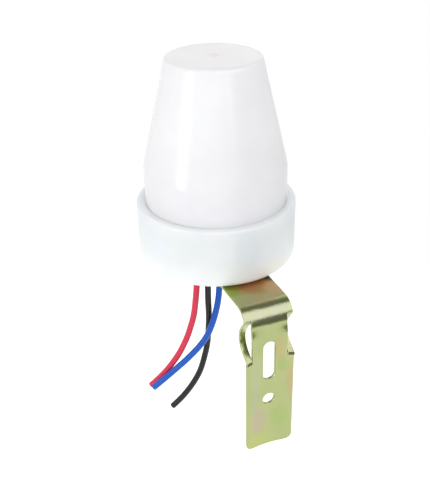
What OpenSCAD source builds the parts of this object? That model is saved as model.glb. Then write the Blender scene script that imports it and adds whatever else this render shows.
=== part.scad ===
// Photocell switch: a milky cap snapped into a round cup that holds the switching board,
// with three coloured leads out of its floor and a folded steel bracket screwed below it.
// The origin is the centre of the bracket's fixing hole, on the outer face of its leg.
// +Z runs up the body's axis, and -Y points out of the leg, away from the body.
// All lengths are in millimetres.

/* [Cup] */
// Outer diameter of the round cup
cup_d = 64; // [62:0.5:80]
// Height of the cup from its underside to its rim
cup_h = 24.2; // [22:0.1:34]
// Thickness of the cup's side wall
cup_wall = 3.35; // [2.6:0.05:3.8]
// Thickness of the cup's floor
floor_t = 2.5; // [2:0.1:3.5]
// Radius of the rounding round the cup's underside
foot_r = 2.1; // [0.5:0.1:2.4]
// Radius of the rounding on the outer edge of the rim
rim_r = 1.2; // [0.4:0.1:2]
// Number of ribs inside the wall that carry the cap's skirt
rib_n = 6; // [3:1:12]
// Width of one of those ribs
rib_w = 1.6; // [1:0.1:3]
// How far a rib stands in from the wall
rib_in = 2.2; // [1.7:0.1:2.6]
// Diameter of the boss under the bracket screw's head
boss_d = 13; // [10:0.5:15]
// Height of that boss above the floor
boss_h = 1.5; // [0.5:0.1:2.5]

/* [Cap] */
// Wall thickness of the milky cap
cap_wall = 1.6; // [1.2:0.1:2.2]
// Radial clearance between the cap's skirt and the cup
cap_fit = 0.15; // [0.1:0.05:0.3]
// Depth to which the skirt goes down into the cup
skirt_in = 10; // [8:0.5:11]
// Height of the straight part of the cap above the rim
cap_straight_h = 14.5; // [6:0.5:30]
// Height of the cone from the straight part to the flat top
cone_h = 42.9; // [30:0.1:70]
// Diameter at which the cone's line meets the flat top
top_d = 36.8; // [30:0.2:50]
// Radius of the rounded shoulder round the flat top
shoulder_r = 2.2; // [1:0.1:5]
// Radius of the soft bend where the cone starts
knee_r = 12; // [4:1:20]
// Height of the bead that snaps into the cup's groove
snap_h = 0.45; // [0.3:0.05:0.6]
// Width of that bead along the axis
snap_w = 1.6; // [1.2:0.1:2.4]
// Diameter of the shallow sink round the moulding gate in the top
gate_d = 4.6; // [3:0.1:6]
// Depth of that sink
gate_t = 0.2; // [0.1:0.05:0.4]
// Diameter of the flat at the bottom of the sink
gate_flat_d = 1.6; // [1:0.1:2.6]

/* [Board] */
// Radial gap between the circuit board and the cup's ribs
board_gap = 1.95; // [1:0.05:2.4]
// Thickness of the circuit board
board_t = 1.6; // [1.2:0.2:2]
// Height of the three posts above the floor
post_h = 9.5; // [9.2:0.1:9.9]
// Diameter of a post
post_d = 6; // [5:0.1:6.2]
// Diameter of a board screw's shank
board_screw_d = 2.5; // [2:0.1:3]
// Length of a board screw under its head
board_screw_l = 8; // [6:0.5:9]
// Diameter of a board screw's head
board_head_d = 4.8; // [4.2:0.1:5.2]
// Height of a board screw's head
board_head_h = 1.7; // [1.2:0.1:2.2]

/* [Parts on the board] */
// Width of the relay across the board
relay_w = 15.5; // [14:0.1:16]
// Length of the relay
relay_l = 19; // [17:0.1:19.5]
// Height of the relay's case
relay_h = 15.5; // [12:0.1:20]
// Diameter of the relay's pins
relay_pin_d = 1; // [0.8:0.1:1.2]
// Diameter of the light-sensing disc
sensor_d = 5.1; // [4.3:0.1:5.6]
// Thickness of the light-sensing disc
sensor_t = 2.1; // [1.8:0.1:2.5]
// Height of the sensing disc's face above the board
sensor_h = 27; // [20:0.5:40]
// Width of the film capacitor
film_w = 13; // [11:0.1:13.4]
// Thickness of the film capacitor
film_t = 6.5; // [5:0.1:6.8]
// Height of the film capacitor
film_h = 12; // [9:0.1:16]
// Diameter of the electrolytic capacitor
can_d = 8; // [6.3:0.1:8.4]
// Height of the electrolytic capacitor
can_h = 12; // [9:0.1:16]
// Diameter of a rectifier diode's body
diode_d = 2.7; // [2.4:0.1:2.8]
// Length of a rectifier diode's body
diode_l = 5.2; // [4.4:0.1:5.6]
// Diameter of the zener diode's body
zener_d = 1.9; // [1.6:0.1:2.2]
// Length of the zener diode's body
zener_l = 3.9; // [3:0.1:4.3]
// Diameter of the large series resistor
big_resistor_d = 4; // [3:0.1:4.4]
// Length of the large series resistor
big_resistor_l = 9.5; // [8:0.1:10.2]
// Diameter of a small resistor
small_resistor_d = 2.3; // [1.8:0.1:2.5]
// Length of a small resistor
small_resistor_l = 5.2; // [4.4:0.1:5.4]
// Diameter of the transistor's moulded body
transistor_d = 4.6; // [4:0.1:5]
// Height of the transistor's moulded body
transistor_h = 4.6; // [4:0.1:5]
// Height of the transistor's body above the board
transistor_lift = 2; // [1:0.1:4]
// Diameter of the component leads
pin_d = 0.6; // [0.5:0.05:0.7]
// Length of a component lead below the board
pin_out = 1.6; // [1.2:0.1:2]
// Diameter of a solder joint at the board
solder_d = 1.7; // [1.6:0.1:1.8]

/* [Bracket] */
// Thickness of the bracket's sheet steel
sheet_t = 1.2; // [1:0.1:1.6]
// Width of the strip that the bracket is folded from
strip_w = 20; // [18.5:0.5:24]
// Distance from the body's axis to the outer face of the leg
leg_reach = 50.6; // [44:0.2:70]
// Outside radius of the bend at the top of the leg
bend_r = 7.5; // [6:0.1:9]
// Length of the leg from the strip's top face to its lower end
leg_drop = 65.1; // [60:0.1:90]
// How far the leg's edges stand out in front of its middle line
leg_dish = 1.2; // [0.6:0.1:1.6]
// Length over which the flat bend eases into the dished leg
dish_ease = 5; // [3:0.5:8]
// Radius of the leg's lower corners
leg_corner_r = 2.8; // [1:0.1:5]
// Length of the strip past the body's axis
strip_tail = 6.8; // [6:0.1:8]
// Radius of the strip's corners under the cup
tail_corner_r = 3; // [1:0.1:4]

/* [Holes in the leg] */
// Diameter of the round fixing hole
hole_d = 5; // [3.5:0.1:6.5]
// Depth of the fixing hole's centre below the strip's top face
hole_drop = 42; // [39:0.1:50]
// Width of the fixing slot
slot_w = 5; // [3.5:0.1:6.5]
// Length of the fixing slot from end to end
slot_l = 17.6; // [12:0.1:20]
// Depth of the slot's upper end below the strip's top face
slot_drop = 14.8; // [13.5:0.1:16]

/* [Band ears] */
// Width of one ear
ear_w = 2.5; // [1.8:0.1:3]
// Width of the slit between an ear and the rest of the leg
ear_gap = 0.1; // [0.1:0.05:0.4]
// Depth at which the notch of an ear starts on the bend
notch_top_drop = 4; // [3.4:0.1:4.4]
// Depth of the notch's lower end
notch_low_drop = 22.8; // [22.6:0.1:24]
// Where an ear's line turns back below the bend: distance behind the leg's outer face
ear_curl_in = 1.4; // [1.2:0.1:1.8]
// Depth of that turn below the strip's top face
ear_curl_drop = 4.6; // [4.5:0.1:5.2]
// Radius of that turn at the middle of the sheet
ear_curl_r = 1.2; // [0.8:0.1:1.3]
// Where the two limbs of an ear would meet: distance behind the leg's outer face
ear_bow_in = 8.8; // [8:0.1:9.4]
// Depth of that point below the strip's top face
ear_bow_drop = 14.9; // [14.2:0.1:15]
// Radius of the bow between the limbs at the middle of the sheet
ear_bow_r = 7; // [4:0.1:7.4]
// How far an ear's free end stands in front of the leg's outer face
ear_tip_out = 1.6; // [1.2:0.1:2.2]
// Height of the free end above the notch's lower end
ear_tip_up = 0.7; // [0.5:0.05:1]
// How much longer an ear's outer edge is than its inner edge
ear_slant = 0.9; // [0:0.1:1.5]

/* [Bracket fastening] */
// Diameter of the screw that holds the bracket to the cup
screw_d = 4; // [3:0.1:4]
// Length of the screw under its head
screw_l = 14; // [13:0.5:16]
// Diameter of the screw's head
screw_head_d = 8; // [6.5:0.1:9]
// Height of the screw's head
screw_head_h = 2.6; // [2:0.1:3]
// Outer diameter of the flat washer
washer_d = 9; // [8:0.1:10]
// Thickness of the flat washer
washer_t = 0.8; // [0.5:0.1:1.2]
// Outer diameter of the split lock washer
lock_d = 7.6; // [7:0.1:8.4]
// Thickness of the split lock washer
lock_t = 1; // [0.8:0.1:1.2]
// Width of the nut across its flats
nut_af = 7; // [6.5:0.1:8]
// Thickness of the nut
nut_t = 3.2; // [2.4:0.1:3.4]
// Radial clearance of a screw in its hole
screw_fit = 0.15; // [0.1:0.05:0.25]

/* [Leads] */
// Outer diameter of a lead
lead_d = 2.9; // [2.4:0.1:3.1]
// Distance between neighbouring lead holes
lead_pitch = 4.8; // [4.5:0.1:5.4]
// Distance of the lead holes behind the body's axis
lead_back = 12.5; // [12.5:0.1:13]
// Radial clearance of a lead in its hole
lead_fit = 0.15; // [0.1:0.05:0.4]

/* [Hidden] */

// Segments round a full turn, and along a rounding in an outline
round_fn = 96;
small_fn = 32;
arc_n = 6;
// How far a cut runs past the face that it opens
overrun = 1;

// Sizes that follow from the ones above
cup_r = cup_d / 2;
cup_bore_r = cup_r - cup_wall;
cap_r = cup_bore_r - cap_fit;
skirt_z = cup_h - skirt_in;
knee_z = cup_h + cap_straight_h;
body_h = knee_z + cone_h;
cone_a = atan((cap_r - top_d / 2) / cone_h);
snap_z = (skirt_z + cup_h) / 2;
board_r = cup_bore_r - rib_in - board_gap;
board_z = floor_t + post_h;
board_top = board_z + board_t;
lead_r = lead_d / 2;
lead_hole_r = lead_r + lead_fit;
bend_mid_r = bend_r - sheet_t / 2;
dish_r = ((strip_w / 2) ^ 2 + leg_dish ^ 2) / (2 * leg_dish);
notch_x = strip_w / 2 - ear_w - ear_gap;
screw_seat = floor_t + boss_h;
screw_hole_r = screw_d / 2 + screw_fit;
board_screw_hole_r = board_screw_d / 2 + screw_fit;

// Places on the board, as shares of its radius from the body's axis
post_place_shares = [[0, 0.816], [-0.576, -0.576], [0.576, -0.576]];
relay_place_share = [-0.34, 0];
sensor_place_share = [-0.1, -0.56];
film_place_share = [0.39, -0.2];
can_place_share = [0.35, 0.19];
diode_place_shares = [[0.53, 0.47], [0.53, 0.65], [-0.54, 0.5], [-0.54, 0.67]];
flyback_place_share = [-0.83, 0];
zener_place_share = [0.78, -0.09];
big_resistor_place_share = [-0.25, -0.8];
small_resistor_place_shares = [[0.35, -0.8], [0.27, -0.51]];
transistor_place_share = [0.76, 0.25];

// How far a lead stands out of a lying body's end, as a share of the body's diameter
lead_run_share = 0.6;
// Radius of a lead's bend, as a share of the shorter limb
pin_bend_share = 0.75;
// Height of a solder joint, as a share of the lead's length below the board
solder_h_share = 0.75;
// Spacing of the pins under the relay, as shares of its width and length
relay_pin_shares = [[0, -0.4], [-0.39, -0.27], [0.39, -0.27], [-0.39, 0.37], [0.39, 0.37]];
// Spacing of the upright leads, as a share of what they stand under
can_lead_share = 0.44;
film_lead_share = 0.77;
sensor_lead_share = 0.5;
transistor_lead_share = 0.28;
// Flat sides of the transistor and of the sensing disc, as shares of the diameter from the middle
flat_share = 0.36;
sensor_flat_share = 0.432;
// Rounding of small moulded and drawn edges, as a share of the piece's smallest size
edge_share = 0.12;
// Recess in a screw head, as shares of the head's diameter and height
drive_len_share = 0.6;
drive_wide_share = 0.14;
drive_deep_share = 0.55;
// Split of the lock washer, as a share of its diameter
split_share = 0.12;
// Raised edge of a solder joint, as a share of its diameter
solder_top_share = 0.5;
// Rounds and grooves near the vent on the electrolytic can, as shares of its height and diameter
can_groove_z_share = 0.14;
can_groove_share = 0.06;
// Lead-in on the cap's skirt and the floor's inner corner, as a share of the cap's wall
lead_in_share = 0.4;

// Routes of the leads from the board's underside to their cut ends, from the body's axis and the
// cup's underside. A lead's centre follows the smooth curve that these points pull along.
route_red = [[-4.8, 12.5, 12], [-4.8, 12.5, 6], [-4.8, 12.5, 0], [-4.8, 12.5, -6], [-4.5, 12.5, -11.5],
    [-4.5, 12.5, -17.5], [-5, 12.5, -23], [-5.5, 12.5, -29], [-6, 13, -34.5], [-6.5, 13.5, -40.5],
    [-8, 14, -46], [-9.5, 14.5, -51.5], [-11.5, 15.5, -57], [-13.5, 16.5, -62], [-16.5, 17.5, -67],
    [-19.5, 19, -72], [-23, 20.5, -76.5], [-26.5, 22, -80.5]];
route_black = [[0, 12.5, 12], [0, 12.5, 6], [0, 12.5, 0], [0, 12.5, -7], [0, 12.5, -13.5],
    [0, 12.5, -20.5], [0.5, 13, -27], [0.5, 13.5, -34], [1, 14, -41], [1, 14.5, -47.5],
    [0.5, 14.5, -54.5], [0, 15, -61], [-1.5, 15.5, -67.5], [-3, 16, -74], [-5.5, 17, -80],
    [-8.5, 18.5, -86], [-12, 20, -91.5], [-16.5, 21.5, -96.5]];
route_blue = [[4.8, 12.5, 12], [4.8, 12.5, 6], [4.8, 12.5, 0], [4.8, 12.5, -6], [5, 12.5, -12],
    [5.5, 12, -18], [5.5, 11.5, -24], [5, 11, -30], [4, 10.5, -35.5], [2.5, 10.5, -41.5],
    [0.5, 10.5, -47.5], [-2, 11, -53], [-5.5, 12, -58], [-9.5, 13, -62.5], [-13.5, 14, -66.5],
    [-18, 15.5, -71], [-22.5, 16.5, -75], [-26.5, 18, -79]];
lead_sides = 8;

// Puts what is drawn from the body's axis and the cup's underside into the part's frame
module at_body() {
    translate([0, leg_reach, hole_drop]) children();
}

// Puts what is drawn from the middle of the board's upper face into the part's frame
module at_board(share = [0, 0]) {
    at_body() translate([share[0] * board_r, share[1] * board_r, board_top]) children();
}

function unit(v) = v / norm(v);

// Points of an arc about c from angle a to angle b
function arc(c, r, a, b, n) = [for (i = [0:n]) c + r * [cos(a + (b - a) * i / n), sin(a + (b - a) * i / n)]];

// Points that round the corner at b with radius r, on the way from a to c, moved to the left by k
function rounded_beside(a, b, c, r, k, n) =
    let (u = unit(a - b), v = unit(c - b))
    let (half = acos(u * v) / 2)
    let (o = b + unit(u + v) * r / sin(half))
    let (s = b + u * r / tan(half) - o, e = b + v * r / tan(half) - o)
    let (from = atan2(s[1], s[0]), turn = atan2(s[0] * e[1] - s[1] * e[0], s * e))
    arc(o, r - sign(turn) * k, from, from + turn, n);
function rounded(a, b, c, r, n = arc_n) = rounded_beside(a, b, c, r, 0, n);

// A cylinder with a small rounding at its upper edge, turned in one piece
module drum(d, h, edge) {
    rotate_extrude($fn = small_fn)
        polygon(concat([[0, 0], [d / 2, 0]], rounded([d / 2, 0], [d / 2, h], [0, h], edge, 3), [[0, h]]));
}

// The same with both edges rounded, lying along X about its middle
module barrel(d, l, edge) {
    rotate([0, 90, 0]) translate([0, 0, -l / 2]) rotate_extrude($fn = small_fn)
        polygon(concat([[0, 0]], rounded([0, 0], [d / 2, 0], [d / 2, l], edge, 3),
            rounded([d / 2, 0], [d / 2, l], [0, l], edge, 3), [[0, l]]));
}

// Cup

// Half section of the cup: foot, wall, rim, snap groove and floor
function cup_outline() =
    let (r = cup_bore_r, g = snap_h + cap_fit, w = snap_w / 2 + cap_fit)
    concat([[0, 0]],
        rounded([0, 0], [cup_r, 0], [cup_r, cup_h], foot_r),
        rounded([cup_r, 0], [cup_r, cup_h], [r, cup_h], rim_r),
        [[r, cup_h], [r, snap_z + w], [r + g, snap_z + w - g], [r + g, snap_z - w + g], [r, snap_z - w]],
        rounded([r, snap_z], [r, floor_t], [0, floor_t], lead_in_share * cap_wall, 3),
        [[0, floor_t]]);

module at_post(share) {
    translate([share[0] * board_r, share[1] * board_r, 0]) children();
}

module skirt_rib() {
    translate([cup_bore_r - rib_in, -rib_w / 2, floor_t - boss_h / 2])
        cube([rib_in + cup_wall / 3, rib_w, skirt_z - floor_t + boss_h / 2]);
}

module base_cup() {
    color("#e7ebec") at_body() difference() {
        union() {
            rotate_extrude($fn = round_fn) polygon(cup_outline());
            for (i = [0:rib_n - 1]) rotate([0, 0, (i + 0.5) * 360 / rib_n]) skirt_rib();
            for (p = post_place_shares) at_post(p) translate([0, 0, floor_t / 2])
                cylinder(d = post_d, h = floor_t / 2 + post_h, $fn = small_fn);
            translate([0, 0, floor_t / 2]) cylinder(d = boss_d, h = floor_t / 2 + boss_h, $fn = small_fn);
        }
        translate([0, 0, -overrun]) cylinder(r = screw_hole_r, h = screw_seat + 2 * overrun, $fn = small_fn);
        for (i = [-1:1]) translate([i * lead_pitch, lead_back, -overrun])
            cylinder(r = lead_hole_r, h = screw_seat + 2 * overrun, $fn = small_fn);
        for (p = post_place_shares) at_post(p) translate([0, 0, board_top - board_screw_l - overrun])
            cylinder(r = board_screw_hole_r, h = board_screw_l + 2 * overrun, $fn = small_fn);
    }
}

// Cap

// Outer line of the cap from the skirt's lower edge to the middle of the top
function cap_outer() =
    let (r = cap_r, w = snap_w / 2, c = lead_in_share * cap_wall)
    concat([[r - c, skirt_z], [r, skirt_z + c], [r, snap_z - w], [r + snap_h, snap_z - w + snap_h],
        [r + snap_h, snap_z + w - snap_h], [r, snap_z + w]],
        rounded([r, snap_z], [r, knee_z], [top_d / 2, body_h], knee_r),
        rounded([r, knee_z], [top_d / 2, body_h], [0, body_h], shoulder_r),
        [[0, body_h]]);

// Inner line, back down at the wall's thickness
function cap_inner() =
    let (r = cap_r - cap_wall, k = knee_z - cap_wall * tan(cone_a / 2))
    let (t = top_d / 2 + cap_wall * tan(cone_a) - cap_wall / cos(cone_a), h = body_h - cap_wall)
    concat([[0, h]],
        rounded([0, h], [t, h], [r, k], max(shoulder_r - cap_wall, shoulder_r * edge_share)),
        rounded([t, h], [r, k], [r, skirt_z], knee_r - cap_wall),
        [[r, skirt_z]]);

module cap() {
    color("#f7f4ef") at_body() difference() {
        rotate_extrude($fn = round_fn) polygon(concat(cap_outer(), cap_inner()));
        translate([0, 0, body_h - gate_t])
            cylinder(d1 = gate_flat_d, d2 = 2 * gate_d - gate_flat_d, h = 2 * gate_t, $fn = small_fn);
    }
}

// Board and its screws

// Places of every component lead through the board, from the body's axis, in millimetres
function at_share(s) = [s[0] * board_r, s[1] * board_r];
function pair_x(s, d, l) = [for (k = [-1, 1]) at_share(s) + [k * (l / 2 + lead_run_share * d), 0]];
function pair_y(s, d, l) = [for (k = [-1, 1]) at_share(s) + [0, k * (l / 2 + lead_run_share * d)]];
function upright(s, gap) = [for (k = [-1, 1]) at_share(s) + [k * gap / 2, 0]];
can_gap = can_lead_share * can_d;
film_gap = film_lead_share * film_w;
sensor_gap = sensor_lead_share * sensor_d;
transistor_gap = transistor_lead_share * transistor_d;
transistor_pins = [for (k = [-1:1]) at_share(transistor_place_share) + [0, k * transistor_gap]];
component_pins = concat(
    [for (s = diode_place_shares) each pair_x(s, diode_d, diode_l)],
    pair_y(flyback_place_share, diode_d, diode_l),
    pair_y(zener_place_share, zener_d, zener_l),
    pair_x(big_resistor_place_share, big_resistor_d, big_resistor_l),
    [for (s = small_resistor_place_shares) each pair_x(s, small_resistor_d, small_resistor_l)],
    upright(film_place_share, film_gap),
    upright(can_place_share, can_gap),
    upright(sensor_place_share, sensor_gap),
    transistor_pins);
relay_middle = at_share(relay_place_share);
relay_pin_places = [for (p = relay_pin_shares) relay_middle + [p[0] * relay_w, p[1] * relay_l]];
pin_hole_d = pin_d + screw_fit;
relay_hole_d = relay_pin_d + screw_fit;

module board_hole(p, d) {
    translate([p[0], p[1], board_z - overrun]) cylinder(d = d, h = board_t + 2 * overrun, $fn = small_fn / 2);
}

module circuit_board() {
    color("#c9a25b") at_body() difference() {
        translate([0, 0, board_z]) cylinder(r = board_r, h = board_t, $fn = round_fn);
        for (p = post_place_shares) board_hole(at_share(p), 2 * board_screw_hole_r);
        for (p = component_pins) board_hole(p, pin_hole_d);
        for (p = relay_pin_places) board_hole(p, relay_hole_d);
    }
}

// A round head with a cross recess over a straight shank, its seat at the origin
module pan_screw(shank_d, shank_l, head_d, head_h) {
    long = head_d * drive_len_share;
    wide = head_d * drive_wide_share;
    deep = head_h * drive_deep_share;
    difference() {
        union() {
            drum(head_d, head_h, deep);
            translate([0, 0, -shank_l]) cylinder(d = shank_d, h = shank_l + head_h / 2, $fn = small_fn);
        }
        for (a = [0, 90]) rotate([0, 0, a]) translate([-long / 2, -wide / 2, head_h - deep])
            cube([long, wide, deep + overrun]);
    }
}

module board_screws() {
    color("silver") for (p = post_place_shares) at_board(p)
        pan_screw(board_screw_d, board_screw_l, board_head_d, board_head_h);
}

// Relay

module relay_case() {
    edge = relay_w * edge_share / 2;
    color("#2b6fb5") at_board(relay_place_share)
        linear_extrude(relay_h) polygon(box_outline(relay_w, relay_l, edge));
}

// Rectangle with rounded corners about its middle
function box_outline(w, l, r) =
    let (c = [[-w / 2, -l / 2], [w / 2, -l / 2], [w / 2, l / 2], [-w / 2, l / 2]])
    [for (i = [0:3]) each rounded(c[(i + 3) % 4], c[i], c[(i + 1) % 4], r, 3)];

module relay_pins() {
    color("silver") at_body() for (p = relay_pin_places) translate([p[0], p[1], board_z - pin_out])
        cylinder(d = relay_pin_d, h = pin_out + board_t, $fn = small_fn / 2);
}

// Components

// The disc of the light sensor, flat on two sides, looking up at the cap's top
module photoresistor() {
    color("#d9822b") at_board(sensor_place_share) translate([0, 0, sensor_h - sensor_t]) intersection() {
        drum(sensor_d, sensor_t, sensor_t * edge_share);
        translate([-sensor_d / 2, -sensor_flat_share * sensor_d, -overrun])
            cube([sensor_d, 2 * sensor_flat_share * sensor_d, sensor_t + 2 * overrun]);
    }
}

module film_capacitor() {
    color("#c23b2e") at_board(film_place_share) linear_extrude(film_h)
        polygon(box_outline(film_w, film_t, film_t * edge_share));
}

// Drawn can with a rolled groove near its base
module electrolytic_capacitor() {
    g = can_groove_share * can_d;
    z = can_groove_z_share * can_h;
    color("#1d2733") at_board(can_place_share) rotate_extrude($fn = small_fn)
        polygon(concat([[0, 0], [can_d / 2, 0], [can_d / 2, z - g], [can_d / 2 - g, z], [can_d / 2, z + g]],
            rounded([can_d / 2, z], [can_d / 2, can_h], [0, can_h], g, 3), [[0, can_h]]));
}

module rectifier_diodes() {
    color("#26262a") for (s = diode_place_shares) at_board(s) translate([0, 0, diode_d / 2])
        barrel(diode_d, diode_l, diode_d * edge_share);
}

module flyback_diode() {
    color("#26262a") at_board(flyback_place_share) translate([0, 0, diode_d / 2]) rotate([0, 0, 90])
        barrel(diode_d, diode_l, diode_d * edge_share);
}

module zener_diode() {
    color("#c8591f") at_board(zener_place_share) translate([0, 0, zener_d / 2]) rotate([0, 0, 90])
        barrel(zener_d, zener_l, zener_d * edge_share);
}

module series_resistor() {
    color("#7d9bb5") at_board(big_resistor_place_share) translate([0, 0, big_resistor_d / 2])
        barrel(big_resistor_d, big_resistor_l, big_resistor_d * edge_share);
}

module small_resistors() {
    color("#c9b183") for (s = small_resistor_place_shares) at_board(s) translate([0, 0, small_resistor_d / 2])
        barrel(small_resistor_d, small_resistor_l, small_resistor_d * edge_share);
}

// Moulded body with one flat side
module transistor() {
    color("#1c1c1f") at_board(transistor_place_share) translate([0, 0, transistor_lift]) intersection() {
        cylinder(d = transistor_d, h = transistor_h, $fn = small_fn);
        translate([-transistor_d, -transistor_d, -overrun])
            cube([transistor_d * (1 + flat_share), 2 * transistor_d, transistor_h + 2 * overrun]);
    }
}

// Straight lead from below the board up to height h over it
module up_pin(p, h) {
    translate([p[0], p[1], board_z - pin_out])
        cylinder(d = pin_d, h = pin_out + board_t + h, $fn = small_fn / 2);
}

// Bent lead: out of a lying body's end at height h, round a small bend and down through the board
module bent_pin(p, toward, h, run) {
    r = min(run, h) * pin_bend_share;
    translate([p[0], p[1], board_z - pin_out])
        cylinder(d = pin_d, h = pin_out + board_t + h - r, $fn = small_fn / 2);
    translate([p[0], p[1], board_top + h - r]) rotate([0, 0, toward]) {
        translate([r, 0, 0]) rotate([90, 0, 0]) rotate([0, 0, 90]) rotate_extrude(angle = 90, $fn = small_fn)
            translate([r, 0]) circle(d = pin_d, $fn = small_fn / 2);
        translate([r, 0, r]) rotate([0, 90, 0]) cylinder(d = pin_d, h = run - r, $fn = small_fn / 2);
    }
}

// Both leads of a body of diameter d lying along X, or along Y when turned
module bent_pair(pins, d, turned = 0) {
    bent_pin(pins[0], turned, d / 2, lead_run_share * d);
    bent_pin(pins[1], turned + 180, d / 2, lead_run_share * d);
}

module component_leads() {
    color("#c9ccd0") at_body() {
        for (s = diode_place_shares) bent_pair(pair_x(s, diode_d, diode_l), diode_d);
        bent_pair(pair_y(flyback_place_share, diode_d, diode_l), diode_d, 90);
        bent_pair(pair_y(zener_place_share, zener_d, zener_l), zener_d, 90);
        bent_pair(pair_x(big_resistor_place_share, big_resistor_d, big_resistor_l), big_resistor_d);
        for (s = small_resistor_place_shares)
            bent_pair(pair_x(s, small_resistor_d, small_resistor_l), small_resistor_d);
        for (p = upright(film_place_share, film_gap)) up_pin(p, 0);
        for (p = upright(can_place_share, can_gap)) up_pin(p, 0);
        for (p = upright(sensor_place_share, sensor_gap)) up_pin(p, sensor_h - sensor_t);
        for (p = transistor_pins) up_pin(p, transistor_lift);
    }
}

// A cone of solder under the board round one lead
module solder(p, d, bore) {
    top_d = bore + (d - bore) * solder_top_share;
    translate([p[0], p[1], board_z]) mirror([0, 0, 1]) difference() {
        cylinder(d1 = d, d2 = top_d, h = pin_out * solder_h_share, $fn = small_fn / 2);
        translate([0, 0, -overrun]) cylinder(d = bore, h = pin_out + 2 * overrun, $fn = small_fn / 2);
    }
}

module solder_joints() {
    color("#b9bdc2") at_body() {
        for (p = component_pins) if (norm(p - at_share(transistor_place_share)) > 2 * transistor_gap)
            solder(p, solder_d, pin_hole_d);
        for (p = relay_pin_places) solder(p, solder_d + relay_pin_d, relay_hole_d);
    }
}

// Bracket

// Section of the leg at a share s of its full dish, outer line then inner line
dish_n = 14;
function dish_at(x) = dish_r - sqrt(dish_r ^ 2 - x ^ 2);
function leg_section(s) =
    let (xs = [for (i = [0:dish_n]) strip_w * (i / dish_n - 0.5)])
    concat([for (x = xs) [x, -s * dish_at(x)]],
        [for (i = [dish_n:-1:0]) [xs[i], sheet_t - s * dish_at(xs[i])]]);

// The leg below the bend: a loft whose section eases from flat to dished, then stays
ease_n = 5;
module leg_loft() {
    steps = [for (i = [0:ease_n]) i / ease_n];
    rings = concat([for (t = steps) [-bend_r - t * dish_ease, t * t * (3 - 2 * t)]], [[-leg_drop, 1]]);
    m = 2 * (dish_n + 1);
    points = [for (g = rings) each [for (q = leg_section(g[1])) [q[0], q[1], g[0]]]];
    sides = [for (j = [0:len(rings) - 2], i = [0:m - 1])
        [j * m + i, j * m + (i + 1) % m, (j + 1) * m + (i + 1) % m, (j + 1) * m + i]];
    last = (len(rings) - 1) * m;
    ends = [for (i = [0:dish_n - 1]) each [[i, m - 1 - i, m - 2 - i, i + 1],
        [last + i, last + i + 1, last + m - 2 - i, last + m - 1 - i]]];
    polyhedron(points, concat(ends, sides), convexity = 4);
}

// Quarter bend of the strip, about an axis along X
module bend() {
    translate([-strip_w / 2, bend_r, -bend_r]) rotate([0, 90, 0]) rotate([0, 0, 180])
        rotate_extrude(angle = 90, $fn = round_fn)
        translate([bend_r - sheet_t, 0]) square([sheet_t, strip_w]);
}

// What is cut away to round a corner of radius r whose tip is at the origin, inside toward -X and -Y
module corner_cut(r) {
    difference() {
        translate([-r, -r, -overrun]) cube([r + overrun, r + overrun, 2 * overrun + bend_r]);
        translate([-r, -r, -2 * overrun]) cylinder(r = r, h = 4 * overrun + bend_r, $fn = small_fn);
    }
}

// Line of an ear at the middle of its sheet, as distance behind the leg's outer face and height
ear_root_z = -notch_top_drop + sheet_t / 3;
ear_root = [bend_r - sqrt(bend_mid_r ^ 2 - (bend_r + ear_root_z) ^ 2), ear_root_z];
ear_curl = [ear_curl_in, -ear_curl_drop];
ear_bow = [ear_bow_in, -ear_bow_drop];
ear_tip = [-ear_tip_out, -notch_low_drop + ear_tip_up];
ear_tip_a = atan2(ear_tip[1] - ear_bow[1], ear_tip[0] - ear_bow[0]);
function left_of(a, b) = let (d = unit(b - a)) [-d[1], d[0]];

// That line moved to the left by k: out of the bend, back round the curl, round the bow to the free end
function ear_side(k) = concat([ear_root + k * left_of(ear_root, ear_curl)],
    rounded_beside(ear_root, ear_curl, ear_bow, ear_curl_r, k, arc_n),
    rounded_beside(ear_curl, ear_bow, ear_tip, ear_bow_r, k, 2 * arc_n),
    [ear_tip + k * left_of(ear_bow, ear_tip)]);
function reversed(list) = [for (i = [len(list) - 1:-1:0]) list[i]];

module ear() {
    difference() {
        translate([strip_w / 2 - ear_w, 0, 0]) rotate([90, 0, 90]) linear_extrude(ear_w)
            polygon(concat(ear_side(sheet_t / 2), reversed(ear_side(-sheet_t / 2))));
        translate([strip_w / 2, ear_tip[0], ear_tip[1]]) rotate([ear_tip_a, 0, 0])
            rotate([0, 0, atan(ear_slant / ear_w)]) translate([-2 * ear_w, 0, -sheet_t])
            cube([3 * ear_w, ear_w, 2 * sheet_t]);
    }
}

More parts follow.
